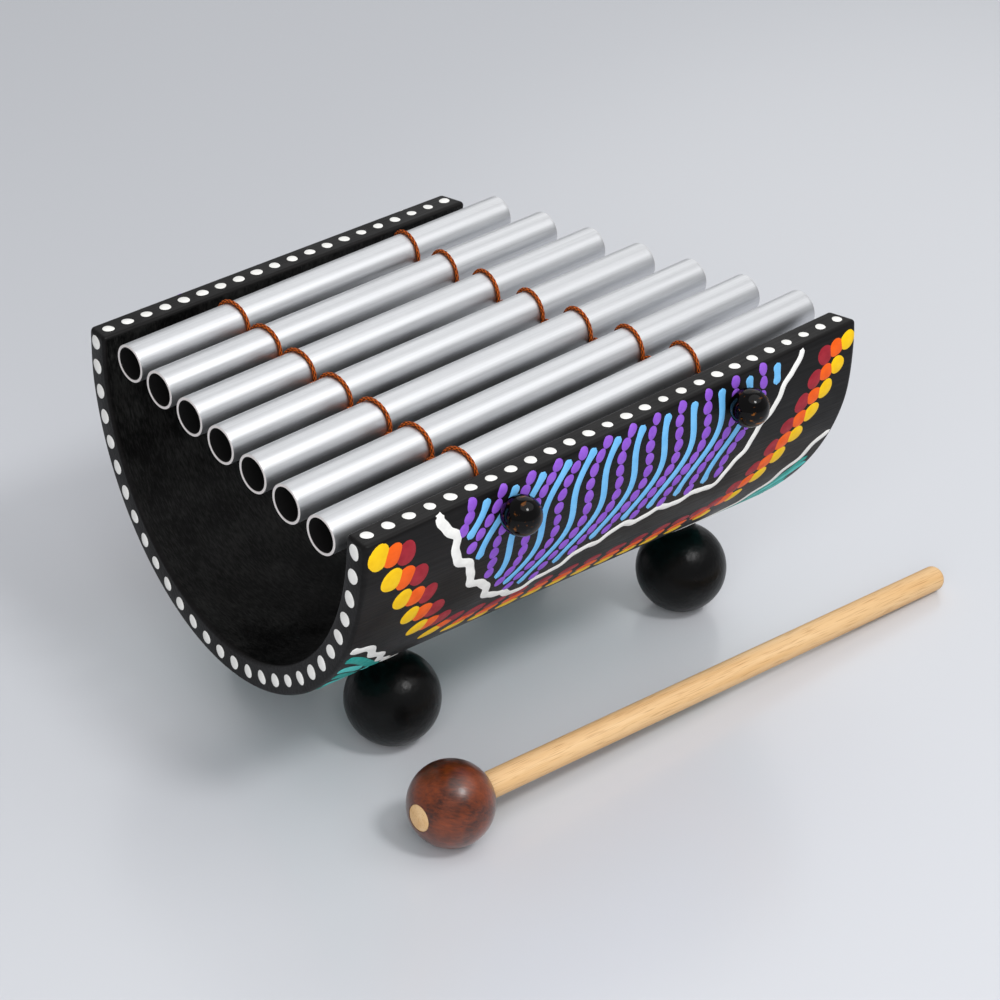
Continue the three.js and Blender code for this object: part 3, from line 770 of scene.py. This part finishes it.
for run in ("front", "rear"):
    strands = []
    for phase in (0, 1):
        path, cuts = strand_path(run, phase)
        strands.append((*braid(path), np.array(cuts) // 2))
    number = 1
    for i in reversed(range(TUBES)):
        body = f"tube_{i + 1}_body"
        for name in ("near", "loop", "far"):
            piece, ends = cord_piece(f"{run}_cord_{name}_{i + 1}", run, strands, number)
            number += 1
            if name == "loop":
                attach(piece, body)
                continue
            ends = ends[::-1] if name == "far" else ends
            ends[:, [0, 2]] = ends[0, [0, 2]]
            tuple(ends[0])
            tuple(ends[1])
            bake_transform(piece)
    for name, number in (("near", 0), ("far", len(cuts) - 2)):
        piece, ends = cord_piece(f"{run}_cord_{name}_wall", run, strands, number)
        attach(piece, "stand")


# Beads: four round beads of dark turned wood under thick clear lacquer, one at each cord end.
# Each is pulled against the outside of the wall, flat to it, and keeps the cord from slipping through.
BEAD_RADIUS = 6.3
BEAD_FLAT = 5.25
BEAD_GAP = 0.1
BEAD_EDGE = 0.25


def bead_shape(run, wall):
    """A ball cut flat where it meets the wall: circles from the middle of the flat up to the outer pole."""
    tilt = np.linspace(-math.asin(BEAD_FLAT / BEAD_RADIUS), np.pi / 2, 22)
    along = np.concatenate([[-BEAD_FLAT, -BEAD_FLAT], BEAD_RADIUS * np.sin(tilt)])
    radius = np.concatenate([[0.0, BEAD_RADIUS * math.cos(tilt[0]) - BEAD_EDGE], BEAD_RADIUS * np.cos(tilt)])
    radius[-1] = 0.0
    centre = hole_place(run, wall) + [0, wall * (BEAD_FLAT + BEAD_GAP), 0]
    return turned(along, radius, centre, (0, wall, 0), sectors=40)


# Lacquered wood: almost black stain with a few amber streaks 1.6 mm wide at random places, under a clear
# glossy coat.
lacquer, tree, shader = new_material("dark_lacquered_wood", {"Roughness": 0.1, "Specular IOR Level": 0.2})
place = add_node(tree, "TexCoord", "Object", {})
size = (9 * MM, 1.6 * MM, 1.6 * MM)
stretch = add_node(tree, "Mapping", 0, {"Vector": place, "Scale": size}, vector_type="TEXTURE")
streaks = add_node(tree, "TexNoise", "Fac", {"Vector": stretch, "Scale": 1.0, "Detail": 4.0})
share = add_node(tree, "MapRange", 0, {0: streaks, 1: 0.6, 2: 0.74})
colour = add_node(tree, "Mix", 2, {0: share, 6: linear("040303"), 7: linear("8a5012")}, data_type="RGBA")
set_inputs(tree, shader, {"Base Color": colour})

for run in ("front", "rear"):
    for side, wall in (("near", -1), ("far", 1)):
        bead = new_piece(f"bead_{side}_{run}_lacquered", [bead_shape(run, wall)], lacquer)
        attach(bead, "stand")
        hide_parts(f"bead_{side}_{run}")


# Feet: four turned wooden balls in satin black, each with a short neck against the underside.
# A hidden pale wooden dowel joins each one to the wall, and a small flat lets it stand.
BALL_RADIUS = 15.6
NECK_RADIUS = 7.5
NECK_HOLLOW = 0.5
NECK_FLARE = 0.12
NECK_STEPS = np.array([-2.6, -1.6, 0.3, 0.3])
FOOT_REACH = 97.5
FOOT_Y = 34.9
FOOT_INSETS = {"front": 44.6, "rear": 14.7}
FOOT_PLACES = {"near_front": (-1, "front"), "near_rear": (-1, "rear"),
               "far_front": (1, "front"), "far_rear": (1, "rear")}


def foot_shape(wall, end):
    """A ball with a neck, turned about the line from the culm's axis: the pole, circles up to where the
    neck begins, a small hollow there, and the neck up into the wall. Points under the floor are raised to
    it, which makes the flat."""
    y = wall * FOOT_Y
    drop = math.sqrt(FOOT_REACH ** 2 - FOOT_Y ** 2)
    x = front_edge(y) + FOOT_INSETS[end] if end == "front" else rear_edge(y) - FOOT_INSETS[end]
    tilt = np.linspace(-np.pi / 2, math.acos((NECK_RADIUS + NECK_HOLLOW) / BALL_RADIUS), 34)
    top = FOOT_REACH - CULM_RADIUS
    along = np.concatenate([BALL_RADIUS * np.sin(tilt), top + NECK_STEPS])
    neck = [NECK_RADIUS + NECK_FLARE, NECK_RADIUS, NECK_RADIUS, 0.0]
    radius = np.concatenate([BALL_RADIUS * np.cos(tilt), neck])
    radius[0] = 0.0
    out = np.array([0, y, -drop]) / FOOT_REACH
    points, faces = turned(along, radius, (x, y, AXIS_HEIGHT - drop), -out, sectors=64)
    points[:, 2] = np.maximum(points[:, 2], 0.0)
    return points, faces


# Sprayed black lacquer on turned wood: satin, with a 2 mm orange peel that breaks up its highlight.
ball_black, tree, shader = new_material("satin_black_ball_lacquer", {
    "Base Color": linear("040404"), "Specular IOR Level": 0.22})
place = add_node(tree, "TexCoord", "Object", {})
peel = add_node(tree, "TexNoise", "Fac", {"Vector": place, "Scale": 1 / (2 * MM), "Detail": 1.0})
haze = add_node(tree, "TexNoise", "Fac", {"Vector": place, "Scale": 1 / (12 * MM), "Detail": 3.0})
gloss = add_node(tree, "MapRange", 0, {0: haze, 1: 0.3, 2: 0.7, 3: 0.26, 4: 0.38})
relief = add_node(tree, "Bump", 0, {"Height": peel, "Distance": 0.13 * MM})
set_inputs(tree, shader, {"Roughness": gloss, "Normal": relief})

for name, (wall, end) in FOOT_PLACES.items():
    foot = new_piece(f"foot_{name}_turned", [foot_shape(wall, end)], ball_black)
    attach(foot, "stand")
    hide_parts(f"foot_{name}")


# Mallet: a stained and lacquered hardwood ball bored through, glued on a pale straight-grained dowel.
# The dowel's sawn end is flush with the ball, and its other end is domed. It lies loose on the floor.
HEAD_RADIUS = 13.6
HANDLE_RADIUS = 4.35
HANDLE_LENGTH = 242.5
HANDLE_DOME = 3.0
MALLET_TURN = math.radians(1.2)
HEAD_FACE = math.sqrt(HEAD_RADIUS ** 2 - HANDLE_RADIUS ** 2)
HANDLE_TAIL = HANDLE_LENGTH - HEAD_FACE
MALLET_DROP = math.asin((HEAD_RADIUS - HANDLE_RADIUS) / (HANDLE_TAIL - HANDLE_DOME))
MALLET_HEAD = np.array([20.0, -CULM_RADIUS - 7.8, HEAD_RADIUS])
MALLET_LEVEL = np.array([math.cos(MALLET_TURN), math.sin(MALLET_TURN), 0.0])
MALLET_AXIS = MALLET_LEVEL * math.cos(MALLET_DROP) - np.array([0.0, 0.0, math.sin(MALLET_DROP)])

bore_tilt = math.acos(HANDLE_RADIUS / HEAD_RADIUS)
tilt = np.linspace(-bore_tilt + 0.004, bore_tilt, 40)
bore = [HEAD_FACE - 2, 2 - HEAD_FACE]
along = np.concatenate([HEAD_RADIUS * np.sin(tilt), bore, HEAD_RADIUS * np.sin(tilt[:1])])
radius = np.concatenate([HEAD_RADIUS * np.cos(tilt), [HANDLE_RADIUS] * 2, HEAD_RADIUS * np.cos(tilt[:1])])
head_shape = turned(along, radius, MALLET_HEAD, MALLET_AXIS, sectors=64)

turn = np.linspace(0, np.pi / 2, 9)
face = [-HEAD_FACE, -HEAD_FACE, 0.15 - HEAD_FACE, 1 - HEAD_FACE]
shaft = [*np.linspace(20, HANDLE_TAIL - 8, 5), HANDLE_TAIL - HANDLE_DOME - 0.4]
along = np.concatenate([face, shaft, HANDLE_TAIL - HANDLE_DOME * (1 - np.sin(turn))])
face = [0.0, HANDLE_RADIUS - 0.25, HANDLE_RADIUS - 0.05, HANDLE_RADIUS]
radius = np.concatenate([face, [HANDLE_RADIUS] * len(shaft), HANDLE_RADIUS * np.cos(turn)])
radius[-1] = 0.0
handle_shape = turned(along, radius, MALLET_HEAD, MALLET_AXIS, sectors=48)

# Stained hardwood: red-brown stain taken up unevenly, in clouds about 12 mm across and short streaks
# 0.8 mm wide, under a clear coat that gives a soft round highlight.
stained, tree, shader = new_material("stained_lacquered_hardwood", {
    "Specular IOR Level": 0.12, "Coat Weight": 1.0, "Coat Roughness": 0.3, "Coat IOR": 1.55})
place = add_node(tree, "TexCoord", "Object", {})
turns = {"Vector": place, "Rotation": (0.3, 0.2, -0.7), "Scale": (2.6 * MM, 0.8 * MM, 0.8 * MM)}
grain = add_node(tree, "Mapping", 0, turns, vector_type="TEXTURE")
streaks = add_node(tree, "TexNoise", "Fac", {"Vector": grain, "Scale": 1.0, "Detail": 4.0, "Roughness": 0.6})
clouds = add_node(tree, "TexNoise", "Fac", {"Vector": place, "Scale": 1 / (12 * MM), "Detail": 3.0})
taken = add_node(tree, "Math", 0, {0: streaks, 1: 0.6, 2: clouds}, operation="MULTIPLY_ADD")
share = add_node(tree, "MapRange", 0, {0: taken, 1: 0.57, 2: 1.05})
colour = add_node(tree, "Mix", 2, {0: share, 6: linear("240d07"), 7: linear("85390f")}, data_type="RGBA")
gloss = add_node(tree, "MapRange", 0, {0: clouds, 1: 0.3, 2: 0.7, 3: 0.45, 4: 0.35})
relief = add_node(tree, "Bump", 0, {"Height": streaks, "Distance": 0.05 * MM})
set_inputs(tree, shader, {"Base Color": colour, "Roughness": gloss, "Normal": relief, "Coat Normal": relief})

# Pale beech or birch dowel, sanded and bare: grain bands about 3 mm wide and short dark pores along it.
pale, tree, shader = new_material("pale_sanded_wood", {"Specular IOR Level": 0.3})
place = add_node(tree, "TexCoord", "Object", {})
lean = (0, MALLET_DROP, MALLET_TURN)
turns = {"Vector": place, "Rotation": lean, "Scale": (70 * MM, 2.6 * MM, 2.6 * MM)}
bands = add_node(tree, "Mapping", 0, turns, vector_type="TEXTURE")
turns = {"Vector": place, "Rotation": lean, "Scale": (9 * MM, 0.3 * MM, 0.3 * MM)}
flecks = add_node(tree, "Mapping", 0, turns, vector_type="TEXTURE")
figure = add_node(tree, "TexNoise", "Fac", {"Vector": bands, "Scale": 1.0, "Detail": 4.0})
pores = add_node(tree, "TexNoise", "Fac", {"Vector": flecks, "Scale": 1.0, "Detail": 1.0})
share = add_node(tree, "MapRange", 0, {0: figure, 1: 0.3, 2: 0.7})
wood = add_node(tree, "Mix", 2, {0: share, 6: linear("e8c494"), 7: linear("dcb17b")}, data_type="RGBA")
dark = add_node(tree, "MapRange", 0, {0: pores, 1: 0.54, 2: 0.76, 3: 0.0, 4: 0.6})
colour = add_node(tree, "Mix", 2, {0: dark, 6: wood, 7: linear("a5713c")}, data_type="RGBA")
gloss = add_node(tree, "MapRange", 0, {0: figure, 1: 0.3, 2: 0.7, 3: 0.5, 4: 0.62})
relief = add_node(tree, "Bump", 0, {"Height": pores, "Distance": -0.04 * MM})
set_inputs(tree, shader, {"Base Color": colour, "Roughness": gloss, "Normal": relief})

mallet = (("head", head_shape, stained, "stained_wood"), ("handle", handle_shape, pale, "pale_wood"))
for name, shape, material, slot in mallet:
    piece = new_piece(f"mallet_{name}_turned", [shape], material)
    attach(piece, "mallet")
    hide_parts(f"mallet_{name}")
for name in FOOT_PLACES:
    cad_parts[f"dowel_{name}"].material_slots[0].material = pale


# Floor: a wide pale grey studio table top with a soft sheen.
# It is only the stage, and lies a hair under the feet so that they don't share its surface.
FLOOR_HALF = 4000
FLOOR_LEVEL = -0.05
FLOOR_POINTS = 9

table, tree, shader = new_material("pale_grey_table", {"Base Color": linear("d0d2d7"), "Roughness": 0.24})
side = np.linspace(-FLOOR_HALF, FLOOR_HALF, FLOOR_POINTS)
x, y = np.meshgrid(side, side, indexing="ij")
sheet = (np.stack([x, y, 0 * x + FLOOR_LEVEL], -1), [grid_faces(FLOOR_POINTS, FLOOR_POINTS)])
floor = new_piece("floor", [sheet], table)


# Light: a wide softbox overhead, a small key light beside it, a softbox on the far side, a fill light on
# the near side, and pale walls all round.
LIGHT_AIM = (0.0, 0.0, 0.05)
WALL_WHITE = (0.95, 0.97, 1.0, 1.0)
WALL_LIGHT = 0.36


def stand_at(thing, place, right, up, back):
    """Puts a lamp or a camera at a place in metres, with its own three directions in its matrix."""
    rows = [[right[k], up[k], back[k], place[k]] for k in range(3)]
    thing.matrix_world = Matrix(rows + [[0, 0, 0, 1]])
    bpy.context.scene.collection.objects.link(thing)


def softbox(name, place, width, depth, power, shine):
    """An oval soft light at a place in metres, turned to face the object. Without shine it is a fill light
    that lights the surfaces but isn't mirrored in them."""
    light = bpy.data.lights.new(name, "AREA")
    light.shape = "ELLIPSE"
    light.size, light.size_y, light.energy = width, depth, power
    lamp = bpy.data.objects.new(name, light)
    lamp.visible_glossy = shine
    back = np.array(place) - LIGHT_AIM
    back /= np.linalg.norm(back)
    right = np.cross([0.0, 1.0, 0.0], back)
    right /= np.linalg.norm(right)
    stand_at(lamp, place, right, np.cross(back, right), back)


softbox("overhead_softbox", (0.25, -0.5, 1.25), 1.8, 1.2, 5.7, True)
softbox("small_key_softbox", (0.07, -0.84, 1.16), 0.28, 0.28, 5.4, True)
softbox("far_side_softbox", (0.8, 0.65, 0.9), 1.6, 1.1, 3.5, True)
softbox("near_side_softbox", (-0.95, -0.95, 0.75), 1.4, 1.0, 11.8, False)
world = bpy.data.worlds.new("even_white_room")
world.use_nodes = True
walls = world.node_tree.nodes["Background"]
set_inputs(world.node_tree, walls, {"Color": WALL_WHITE, "Strength": WALL_LIGHT})
bpy.context.scene.world = world
bpy.context.scene.view_settings.view_transform = "Standard"


# Camera: a 100 mm lens about a metre away, to the front and near side, looking 30 degrees down.
# It is rolled a little to one side.
CAMERA_PLACE = (-0.55324, -0.59286, 0.51075)
CAMERA_LENS = 100.75
CAMERA_SENSOR = 36.0
YAW, PITCH, ROLL = np.radians([47.43, 29.87, -2.26])

ahead = np.array([math.cos(YAW) * math.cos(PITCH), math.sin(YAW) * math.cos(PITCH), -math.sin(PITCH)])
right = np.array([math.sin(YAW), -math.cos(YAW), 0.0])
down = np.cross(ahead, right)
level = math.cos(ROLL) * right + math.sin(ROLL) * down
plumb = math.cos(ROLL) * down - math.sin(ROLL) * right
lens = bpy.data.cameras.new("studio_camera")
lens.lens, lens.sensor_width = CAMERA_LENS, CAMERA_SENSOR
camera = bpy.data.objects.new("studio_camera", lens)
stand_at(camera, CAMERA_PLACE, level, -plumb, -ahead)
bpy.context.scene.camera = camera
